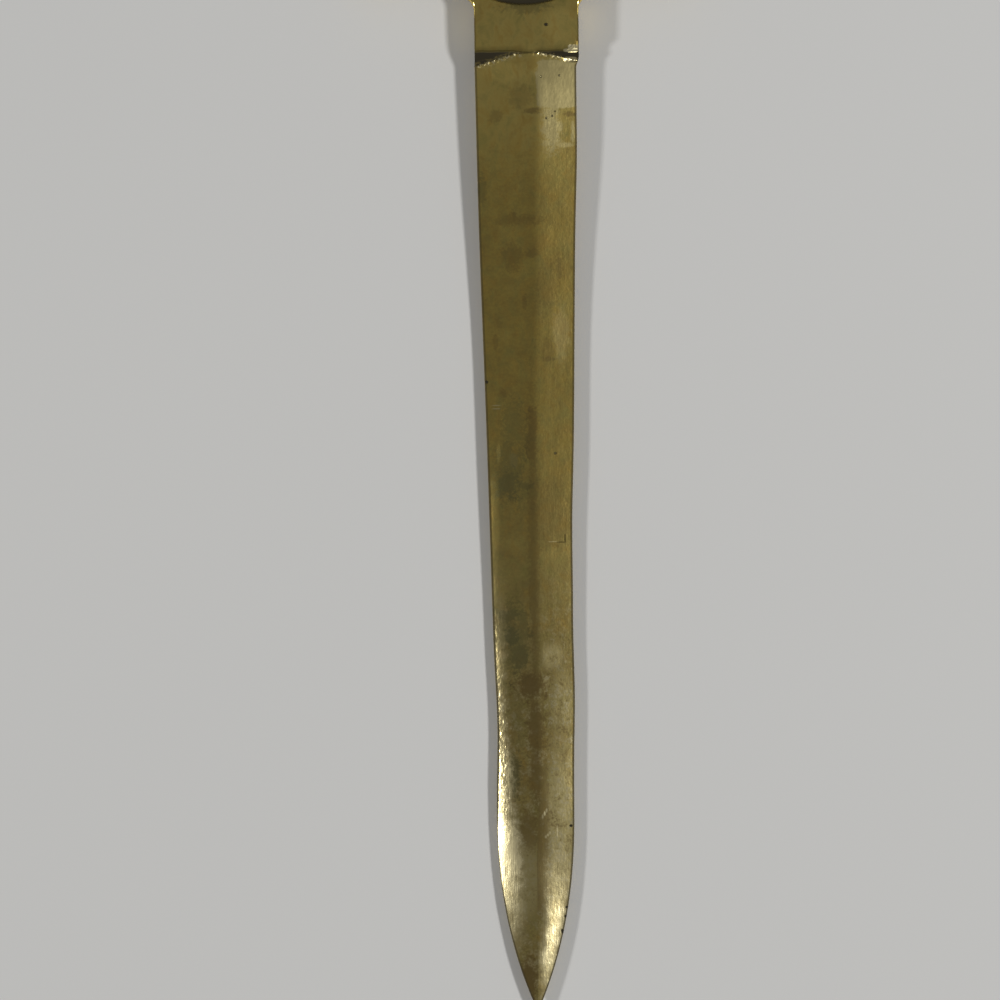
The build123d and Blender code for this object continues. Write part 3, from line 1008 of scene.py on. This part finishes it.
GREEN_STAINS_AND_LIP_REFLECTION = (
    Spot(-3.5, 79.6, 1.6, 2.7, 0.75),
    Spot(-3.4, 81.6, 2.3, 4.6, 0.5),
    Spot(-2.4, 88.6, 1.9, 3.6, 0.35),
    Spot(-1.2, 79.4, 1.2, 0.7, 0.5),
    Spot(-3.9, 59.6, 1.6, 1.2, 0.7),
    Spot(-3.2, 56.6, 1.2, 1.8, 0.85),
    Spot(-2.2, 53.5, 1.3, 2.3, 0.7),
    Spot(-3.0, 56.0, 2.5, 5.0, 0.5),
    Spot(-3.3, 44.0, 1.4, 6.0, 0.2),
    Spot(-3.3, 35.4, 0.9, 3.0, 0.7),
    Spot(-6.9, 124.5, 0.6, 2.4, 0.45),
    # Painted reflection: a dark band on the ricasso below the guard's lip, laid in with the green stains.
    Spot(0.4, 152.4, 3.4, 1.0, 0.5),
)
BROWN_STAINS = (
    Spot(-4.7, 135.9, 0.9, 0.9, 0.35),
    Spot(1.0, 136.6, 1.0, 0.45, 0.6),
    Spot(6.6, 136.0, 0.9, 0.4, 0.6),
    Spot(-0.6, 138.8, 1.8, 1.6, 0.3),
    Spot(-1.6, 120.0, 3.0, 0.8, 0.4),
    Spot(-2.05, 120.4, 0.4, 1.1, 0.55),
    Spot(4.7, 112.5, 0.5, 1.9, 0.35),
    Spot(2.9, 109.5, 1.5, 3.8, 0.25),
    Spot(-0.6, 107.6, 0.35, 1.0, 0.4),
    Spot(-5.1, 101.5, 0.4, 1.2, 0.35),
    Spot(-2.5, 114.5, 1.4, 2.1, 0.4),
    Spot(0.6, 115.0, 1.0, 0.7, 0.4),
    Spot(2.9, 100.3, 1.0, 1.5, 0.3),
    Spot(2.9, 98.7, 1.1, 0.3, 0.5),
    Spot(3.4, 74.5, 3.0, 4.0, 0.25),
    Spot(-4.0, 93.5, 0.6, 0.8, 0.4),
    Spot(-0.4, 48.9, 2.3, 2.1, 0.8),
    Spot(0.2, 42.3, 1.2, 4.8, 0.65),
    Spot(0.3, 36.0, 1.1, 5.5, 0.55),
    Spot(-1.0, 27.0, 1.4, 3.2, 0.5),
    Spot(1.2, 28.0, 0.9, 11.5, 0.45),
    Spot(-1.3, 4.4, 1.2, 3.4, 0.8),
    Spot(0.2, 87.0, 0.8, 5.0, 0.6),
    Spot(0.25, 68.0, 0.8, 26.0, 0.4),
)
PALE_PATCHES = (
    Spot(4.7, 140.6, 3.1, 3.7, 1.0),
)
RUBBED_PATCHES = (
    Spot(3.8, 134.0, 1.5, 3.6, 0.9),
    Spot(7.1, 133.5, 0.3, 1.7, 0.8),
    Spot(5.8, 131.3, 1.3, 0.4, 0.7),
    Spot(4.9, 102.6, 1.3, 3.8, 0.35),
    Spot(-2.55, 83.4, 0.6, 1.1, 0.3),
    Spot(2.9, 53.3, 1.6, 1.9, 0.7),
    Spot(1.85, 49.3, 0.5, 0.8, 0.7),
    Spot(4.2, 46.0, 1.6, 5.0, 0.5),
    Spot(4.0, 38.0, 1.8, 4.0, 0.4),
    Spot(3.6, 27.5, 2.0, 10.5, 0.9),
    Spot(-1.4, 19.5, 2.0, 5.5, 0.85),
)
DULLED_PATCHES = (
    Spot(5.6, 149.4, 2.7, 2.8, 0.8),
    Spot(-3.2, 142.6, 4.0, 1.6, 0.6),
    Spot(-5.6, 74.0, 0.7, 7.0, 0.6),
    Spot(-4.9, 84.6, 0.3, 1.8, 0.8),
)
# Bare brass at the worn right end of the plunge, laid in polished colour where the lights glint on it: partly
# a painted highlight.
BARE_CORNERS_AND_GLINTS = (
    Spot(7.3, 146.1, 0.8, 0.45, 1.0),
    Spot(6.9, 145.7, 1.1, 0.25, 1.0),
    Spot(6.8, 144.4, 1.0, 0.32, 1.0),
)
PITS = (
    Spot(3.2, 149.65, 0.3, 0.26, 1.0),
    Spot(2.3, 141.75, 0.15, 0.18, 0.9),
    Spot(5.1, 141.9, 0.16, 0.18, 0.9),
    Spot(3.05, 135.45, 0.16, 0.24, 0.9),
    Spot(3.95, 135.75, 0.15, 0.2, 0.9),
    Spot(4.4, 136.45, 0.2, 0.15, 0.6),
    Spot(-6.6, 95.35, 0.25, 0.25, 1.0),
    Spot(3.75, 84.35, 0.24, 0.18, 0.9),
    Spot(5.4, 27.4, 0.25, 0.22, 1.0),
    Spot(4.6, 15.0, 0.25, 0.2, 1.0),
    Spot(4.4, 13.6, 0.2, 0.25, 1.0),
    Spot(3.9, 11.3, 0.25, 0.4, 1.0),
    Spot(5.07, 71.3, 0.13, 0.65, 0.6),
    Spot(4.5, 70.75, 0.7, 0.1, 0.5),
)
NICKS = (
    Spot(3.2, 70.85, 0.7, 0.08, 0.5),
    Spot(-5.2, 91.75, 0.7, 0.08, 0.6),
    Spot(-5.2, 91.25, 0.6, 0.08, 0.6),
    Spot(3.3, 26.6, 0.1, 0.8, 0.8),
    Spot(1.1, 28.9, 0.14, 0.36, 0.7),
    Spot(1.4, 29.35, 0.14, 0.36, 0.9),
    Spot(1.7, 29.85, 0.14, 0.36, 0.7),
    Spot(1.55, 25.8, 0.18, 0.24, 0.6),
    Spot(1.85, 26.1, 0.18, 0.24, 0.7),
    Spot(2.15, 26.4, 0.18, 0.24, 0.6),
)


class BladePatterns:
    """Places on the blade in millimetres, and the noises that its stains, bright places and dirt share."""

    def __init__(self, finish):
        place = finish.place()
        broad = finish.stretched(place, (0.4, 0.3, 0.4), shift=(9, 4, 0))
        uneven = finish.stretched(place, (0.5, 0.35, 0.5), shift=(2, 7, 0))
        self.right, self.along, _ = finish.split(place)
        self.from_tip = self.along - TIP_Y
        self.clouds = finish.cloud(place, 0.16, detail=5, roughness=0.6, distortion=0.4)
        self.patches = finish.cloud(broad, 1, detail=3, roughness=0.5, distortion=0.8)
        self.tones = finish.cloud(uneven, 1, detail=5, roughness=0.7, distortion=0.5)
        self.mottle = finish.cloud(place, 0.7, detail=6, roughness=0.65)
        self.specks = finish.cloud(place, 2.6, detail=4, roughness=0.7)
        self.dents = finish.cloud(finish.stretched(place, (2.2, 1.3, 2.2)), 1, detail=1, roughness=0.5)
        self.streaks = finish.cloud(finish.stretched(place, (5, 0.22, 5)), 1, detail=4, roughness=0.6)
        self.brushing = finish.cloud(finish.stretched(place, (8, 0.3, 8)), 1, detail=2, roughness=0.5)
        self.ragged = (self.mottle - 0.5) * 1.4 + (self.specks - 0.5) * 0.8

    def mask(self, spots, ragged, soft, power=2):
        """Mask of several spots, with edges as soft as asked that follow a noise; squarer with the power."""
        mask = None
        for spot in spots:
            sideways = (self.right - spot.right) / spot.half_width
            lengthways = (self.from_tip - spot.from_tip) / spot.half_length
            away = (abs(sideways) ** power + abs(lengthways) ** power) ** (1 / power) + ragged
            inside = away.rise(1 + soft, 1 - soft) * spot.strength
            mask = inside if mask is None else mask.larger(inside)
        return mask


def filed_and_highlit(on):
    """Where the blade was filed bright and where the lights' highlights fall, partly a painted highlight: the
    lower half's left edge, and right of the ridge at the tip.
    """
    left_bound = 2.2 + 1.3 * on.from_tip.rise(20, 34) + 1.1 * on.from_tip.rise(32, 46)
    left = (on.ragged * 1.6 - on.right - left_bound).rise(-1.2, 0.9)
    left = left * on.from_tip.rise(6, 14) * on.from_tip.rise(75, 35)
    right = (on.right + 0.7 * on.from_tip.rise(14, 7)).rise(0.4, 1.8)
    right = right * on.from_tip.rise(-2, 8) * on.from_tip.rise(27, 10)
    return left.larger(right)


def brown_stains(on):
    """The brown stains, and a brown strip along the right of the ridge towards the tip."""
    strip = (on.right - 0.1 - 0.45 * on.from_tip.rise(21, 33)).rise(-0.05, 0.12) * on.right.rise(1.5, 0.8)
    strip = 0.55 * strip * on.from_tip.rise(12, 17) * on.from_tip.rise(36, 28)
    return on.mask(BROWN_STAINS, on.ragged * 2, soft=0.4).larger(strip)


def flecks_and_marks(on):
    """Bright flecks and brown marks of the lower half, more of them on the right bevel."""
    there = 0.25 + 0.75 * on.right.rise(0.8, 2.2).larger(0.5 * on.from_tip.rise(52, 44))
    lower = on.from_tip.rise(70, 44) * there
    flecks = on.specks.rise(0.4, 0.58) * on.mottle.rise(0.48, 0.58) * lower
    marks = on.specks.rise(0.58, 0.4) * on.mottle.rise(0.5, 0.4) * lower
    return flecks, marks


def blade_tarnish(finish, on, colours):
    """Colour of the blade before its stains: greyer in the lower half, lighter near the guard, in patches."""
    fresh = on.from_tip.rise(118, 144) * 0.85 + (on.clouds - 0.5) * 0.7 + (on.patches - 0.5) * 0.7
    brownish = 0.2 + (0.5 - on.clouds) * 0.8 + (on.mottle - 0.5) * 0.9 + (0.5 - on.specks) * 0.8
    return finish.layered(
        finish.mix(colours.tarnished, colours.dull, on.from_tip.rise(95, 45)),
        (colours.fresh, fresh),
        (colours.warm, (on.tones - 0.5) * 4),
        (colours.cool, (0.5 - on.tones) * 4),
        (colours.brown, brownish - 0.35 * on.from_tip.rise(118, 146)),
        (colours.green, (on.patches - 0.55) * 0.9),
    )


def blade_finish(colours):
    """Aged brass of the blade: olive tarnish, stains, a pale patch, edges rubbed bright near the tip with a
    painted highlight along them, and painted shade on the plunges.
    """
    finish = Finish("blade_brass")
    on = BladePatterns(finish)
    soil = finish.add("ShaderNodeAttribute", {"attribute_name": "soil"}, None, "Vector")
    # The first part is the painted shade on the plunges, the second the beads at their foot, the third
    # nearness to an edge.
    ramp, foot, edge = finish.split(soil)
    # The green stains, together with the painted reflection of the guard's lip on the ricasso.
    green = on.mask(GREEN_STAINS_AND_LIP_REFLECTION, on.ragged * 2.2, soft=0.4)
    cleaned = on.mask(PALE_PATCHES, on.ragged * 0.35, soft=0.05, power=6)
    pale = cleaned.larger(on.mask(RUBBED_PATCHES, on.ragged * 1.6, soft=0.4))
    pits = on.mask(PITS, (on.specks - 0.5) * 0.9, soft=0.25)
    nicks = on.mask(NICKS, (on.specks - 0.5) * 1.2, soft=0.4)
    dulled = on.mask(DULLED_PATCHES, on.ragged, soft=0.4)
    bare_and_glinting = on.mask(BARE_CORNERS_AND_GLINTS, on.ragged * 0.3, soft=0.1, power=4)
    flecks, marks = flecks_and_marks(on)

    # Brightness, partly a painted highlight laid in polished colour along the highlights: broken by streaks
    # and mottle, less so in the stretch of the left highlight
    filed = filed_and_highlit(on)
    solid = 0.75 + on.from_tip.rise(32, 25) * (0.05 + 0.25 * on.from_tip.rise(16, 21))
    bright = filed * (solid + 0.9 * (on.streaks - 0.5) + 1.2 * (on.mottle - 0.5))
    beads = foot * on.specks.rise(0.48, 0.56)
    bright = bright.larger(0).smaller(1).larger(bare_and_glinting).larger(beads)

    # Darkening: painted shade on the plunges between the bare corners and the beads, dirt in the pits, and a
    # dark line along the edges
    rim = edge.rise(0.02, 0.2) * edge.rise(0.8, 0.55) * on.along.rise(-2.4, -3.6)
    dirt_and_painted_shade = (ramp * (1 - bare_and_glinting) * (1 - beads)).larger(rim * 0.9).larger(pits)
    crust_and_painted_shade = dirt_and_painted_shade.rise(0.7, 1)

    tint = finish.layered(
        blade_tarnish(finish, on, colours),
        (colours.pale, pale),
        (colours.polished, flecks * 0.75),
        (colours.brown, marks * 0.6),
        (colours.brown, brown_stains(on)),
        (colours.green, green),
        (colours.polished, bright.larger(nicks)),
        (colours.grime_and_shade, dirt_and_painted_shade),
    )
    wear = 0.03 * pale + 0.1 * dulled + 0.12 * green + 0.14 * bright + 0.05 * nicks
    roughness = 0.155 + 0.05 * (on.mottle - 0.5) + wear + 0.55 * crust_and_painted_shade

    # Relief: little in the cleaned patch, dents where the edge was filed, and brushing where it is bright
    even = 1 - 0.85 * cleaned
    dented = 0.3 + (0.4 + 2 * on.from_tip.rise(25, 36)) * filed
    height = ((on.streaks - 0.5) * 0.1 + (on.mottle - 0.5) * 0.8) * even + (on.dents - 0.5) * dented
    height = height + (on.brushing - 0.5) * (0.05 * even + 0.6 * bright) - 1.2 * pits.rise(0.7, 1)
    return finish.metal(tint, roughness, 1 - crust_and_painted_shade, height, depth=0.02)


def worn_finish(name, colours, tarnish, grain, seams):
    """Aged brass of a hilt piece: bright on its proud places, dark in its hollows and at the seams, with
    painted shade over the guard's lips.
    """
    finish = Finish(name)
    place = finish.place()
    across, along, deep = finish.split(place)
    hollow = finish.add("ShaderNodeAttribute", {"attribute_name": "hollow"}, None, "Fac")
    clouds = finish.cloud(place, 0.16, detail=4, roughness=0.6)
    mottle = finish.cloud(place, 0.7, detail=6, roughness=0.65)
    patches = finish.cloud(place, 0.35, detail=3, roughness=0.5, distortion=0.8)
    grains = finish.cloud(finish.stretched(place, grain), 1, detail=3, roughness=0.6)

    # Darkening: painted shade over the guard's lips, dirt in the hollows and at the seams round the tang
    # Painted shade: the guard's lips and the foot of its boss are made near black.
    lips = along.rise(0.3, -1)
    dirt_and_painted_shade = (hollow + (mottle - 0.5) * 0.5).rise(0.02, 0.3).larger(lips)
    out = (across**2 + deep**2) ** 0.5
    for seam in seams:
        near = abs(along - seam) + (mottle - 0.5) * 0.6
        dirt_and_painted_shade = dirt_and_painted_shade.larger(near.rise(0.55, 0.1) * out.rise(5.2, 4.4))
    crust_and_painted_shade = lips.larger(dirt_and_painted_shade * 0.6)

    rubbed = ((0 - hollow) + (mottle - 0.5) * 0.5 + (clouds - 0.5) * 0.8).rise(0.1, 0.8)
    tint = finish.layered(
        colours.tarnished,
        (colours.brown, (clouds - 0.35) * tarnish + (mottle - 0.5) * 0.6),
        (colours.green, (patches - 0.52) * 1.6),
        (colours.polished, rubbed * 0.7),
        (colours.grime_and_shade, lips.larger(dirt_and_painted_shade * 0.9)),
    )
    roughness = 0.2 + 0.12 * (mottle - 0.5) - 0.04 * rubbed + 0.55 * crust_and_painted_shade
    height = (grains - 0.5) * 0.6 + (mottle - 0.5) * 0.6
    return finish.metal(tint, roughness, 1 - crust_and_painted_shade, height, depth=0.02)


def floor_finish(tone):
    """Matt pale floor with a faint unevenness."""
    finish = Finish("floor")
    coordinates = finish.add("ShaderNodeTexCoord", output="Object")
    cloud = finish.cloud(coordinates, 6, detail=4, roughness=0.5)
    darker = [0.96 * part for part in tone]
    tint = finish.mix(tone, darker, cloud)
    surface = finish.add("ShaderNodeBsdfPrincipled", None, {"Base Color": tint, "Roughness": 0.75})
    finish.add("ShaderNodeOutputMaterial", None, {"Surface": surface})
    return finish.material


# How far each brass of the hilt is tarnished, and how fine the grain of its making is each way
HILT_BRASSES = {
    "hilt_brass": (1.4, (3, 3, 3)),
    "grip_brass": (1.7, (6, 0.6, 6)),
    "fastener_brass": (1.0, (1, 9, 1)),
}


def brass(slot):
    """The finish of a slot, made once."""
    made = bpy.data.materials.get(f"aged_{slot}")
    if made:
        return made
    colours = bpy.context.scene.opener_finish
    if slot == "blade_brass":
        return blade_finish(colours)
    tarnish, grain = HILT_BRASSES[slot]
    seams = HiltPlaces(in_millimetres(bpy.context.scene.opener_hilt)).seams()
    return worn_finish(slot, colours, tarnish, grain, seams)


# Operators


def hilt_sizes(context):
    """Sizes of the hilt in millimetres, and the places of its pieces."""
    size = in_millimetres(context.scene.opener_hilt)
    return size, HiltPlaces(size)


def add_hilt_pieces(slot, meshes, crease=CREASE):
    """Adds meshes of like pieces, by node, with their hollows marked for the dirt."""
    for node, bm in meshes.items():
        mark_hollows(bm)
        add_piece(node, brass(slot), bm, crease)


class OPENER_OT_blade(bpy.types.Operator):
    """Model the blade with its ricasso and tang"""

    bl_idname = "opener.blade"
    bl_label = "Blade"

    def execute(self, context):
        size = in_millimetres(context.scene.opener_blade)
        add_piece("blade", brass("blade_brass"), blade_mesh(size))
        return {"FINISHED"}


class OPENER_OT_guard(bpy.types.Operator):
    """Model the guard with its boss, lips, arms and balls"""

    bl_idname = "opener.guard"
    bl_label = "Guard"

    def execute(self, context):
        size, _ = hilt_sizes(context)
        mouth = in_millimetres(context.scene.opener_blade).ricasso_thickness / 2
        add_hilt_pieces("hilt_brass", {"guard": guard_mesh(size, mouth)})
        return {"FINISHED"}


class OPENER_OT_collars(bpy.types.Operator):
    """Model the two collars at the ends of the grip"""

    bl_idname = "opener.collars"
    bl_label = "Collars"

    def execute(self, context):
        size, places = hilt_sizes(context)
        meshes = {
            "lower_collar": collar_mesh(size, places.lower_collar, spigot_below=False),
            "upper_collar": collar_mesh(size, places.upper_collar, spigot_below=True),
        }
        add_hilt_pieces("hilt_brass", meshes)
        return {"FINISHED"}


class OPENER_OT_grips(bpy.types.Operator):
    """Model the two fluted halves of the grip"""

    bl_idname = "opener.grips"
    bl_label = "Grip halves"

    def execute(self, context):
        size, places = hilt_sizes(context)
        meshes = {
            "lower_grip": grip_mesh(size, end_y=places.lower_grip, middle_y=places.knop),
            "upper_grip": grip_mesh(size, end_y=places.upper_collar, middle_y=places.upper_grip),
        }
        add_hilt_pieces("grip_brass", meshes)
        return {"FINISHED"}


class OPENER_OT_knop(bpy.types.Operator):
    """Model the knop between the halves of the grip"""

    bl_idname = "opener.knop"
    bl_label = "Knop"

    def execute(self, context):
        size, places = hilt_sizes(context)
        add_hilt_pieces("hilt_brass", {"grip_knop": knop_mesh(size, places.knop)})
        return {"FINISHED"}


class OPENER_OT_pommel(bpy.types.Operator):
    """Model the pommel"""

    bl_idname = "opener.pommel"
    bl_label = "Pommel"

    def execute(self, context):
        size, places = hilt_sizes(context)
        add_hilt_pieces("hilt_brass", {"pommel": pommel_mesh(size, places)})
        return {"FINISHED"}


class OPENER_OT_fasteners(bpy.types.Operator):
    """Model the washer and the domed nut, and finish the rod that they are on"""

    bl_idname = "opener.fasteners"
    bl_label = "Rod, washer and nut"

    def execute(self, context):
        size, places = hilt_sizes(context)
        meshes = {
            "pommel_washer": washer_mesh(size, places.washer),
            "tang_nut": nut_mesh(size, places.nut),
        }
        add_hilt_pieces("fastener_brass", meshes, crease=math.radians(25))
        rod = frame["nodes"]["tang_rod"].data.materials
        rod.clear()
        rod.append(brass("fastener_brass"))
        return {"FINISHED"}


class OPENER_OT_stage(bpy.types.Operator):
    """Set up the pale floor, the lights and the camera"""

    bl_idname = "opener.stage"
    bl_label = "Stage"

    floor_radius = 2.5

    def execute(self, context):
        stage = context.scene.opener_stage
        self.lay_floor(context, stage)
        self.hang_lights(context, stage)
        self.place_camera(context, stage)
        context.scene.view_settings.view_transform = "Standard"
        return {"FINISHED"}

    def lay_floor(self, context, stage):
        """Round pale floor under the opener."""
        bm = bmesh.new()
        bmesh.ops.create_circle(bm, cap_ends=True, segments=64, radius=self.floor_radius)
        mesh = bpy.data.meshes.new("floor")
        bm.to_mesh(mesh)
        bm.free()
        mesh.materials.append(floor_finish(stage.floor))
        floor = bpy.data.objects.new("floor", mesh)
        context.scene.collection.objects.link(floor)

    def hang_lights(self, context, stage):
        """Even light from all round, and two soft lights over the blade."""
        world = bpy.data.worlds.new("even_light")
        world.use_nodes = True
        world.node_tree.nodes["Background"].inputs["Color"].default_value = (stage.sky,) * 3 + (1,)
        context.scene.world = world
        below = WORKING @ Vector((0, -stage.light_along / MM, 0))
        for name, side, slope, power in (
            ("left_light", LEFT, stage.left_slope, stage.left_light),
            ("right_light", RIGHT, stage.right_slope, stage.right_light),
        ):
            toward = Vector((side * math.sin(slope), 0, math.cos(slope)))
            lamp = bpy.data.lights.new(name, "AREA")
            lamp.energy = power
            lamp.size = stage.light_size
            light = bpy.data.objects.new(name, lamp)
            light.location = below + toward * stage.light_distance
            light.rotation_euler = toward.to_track_quat("Z", "Y").to_euler()
            context.scene.collection.objects.link(light)

    def place_camera(self, context, stage):
        """Camera straight above the blade."""
        lens = bpy.data.cameras.new("camera")
        lens.lens = lens.sensor_width * stage.camera_height / stage.view_width
        lens.clip_start = 0.01
        camera = bpy.data.objects.new("camera", lens)
        aim = WORKING @ Vector((0, -stage.view_down / MM, 0))
        turn = Matrix.Rotation(stage.roll, 3, "Z")
        camera.location = aim + turn @ Vector((-stage.view_left, 0, stage.camera_height))
        camera.rotation_euler = (0, 0, stage.roll)
        context.scene.collection.objects.link(camera)
        context.scene.camera = camera


OPERATORS = (
    OPENER_OT_stage,
    OPENER_OT_blade,
    OPENER_OT_guard,
    OPENER_OT_collars,
    OPENER_OT_grips,
    OPENER_OT_knop,
    OPENER_OT_pommel,
    OPENER_OT_fasteners,
)


class OPENER_PT_sidebar(bpy.types.Panel):
    """Lists the opener's pieces and their settings."""

    bl_idname = "OPENER_PT_sidebar"
    bl_label = "Letter Opener"
    bl_space_type = "VIEW_3D"
    bl_region_type = "UI"
    bl_category = "Letter Opener"

    def draw(self, context):
        column = self.layout.column()
        for operator in OPERATORS:
            column.operator(operator.bl_idname)
        for name, group in SETTINGS.items():
            box = self.layout.box()
            box.label(text=group.__doc__)
            for setting in group.__annotations__:
                box.prop(getattr(context.scene, name), setting)


CLASSES = (*SETTINGS.values(), *OPERATORS, OPENER_PT_sidebar)


def register():
    """Registers the classes and hangs the settings on the scene."""
    for item in CLASSES:
        bpy.utils.register_class(item)
    for name, group in SETTINGS.items():
        setattr(bpy.types.Scene, name, PointerProperty(type=group))


def unregister():
    """Takes back what register did."""
    for name in SETTINGS:
        delattr(bpy.types.Scene, name)
    for item in reversed(CLASSES):
        bpy.utils.unregister_class(item)


def main():
    """Makes every piece and the stage."""
    register()
    for operator in OPERATORS:
        group, name = operator.bl_idname.split(".")
        getattr(getattr(bpy.ops, group), name)()


if __name__ == "__main__":
    main()
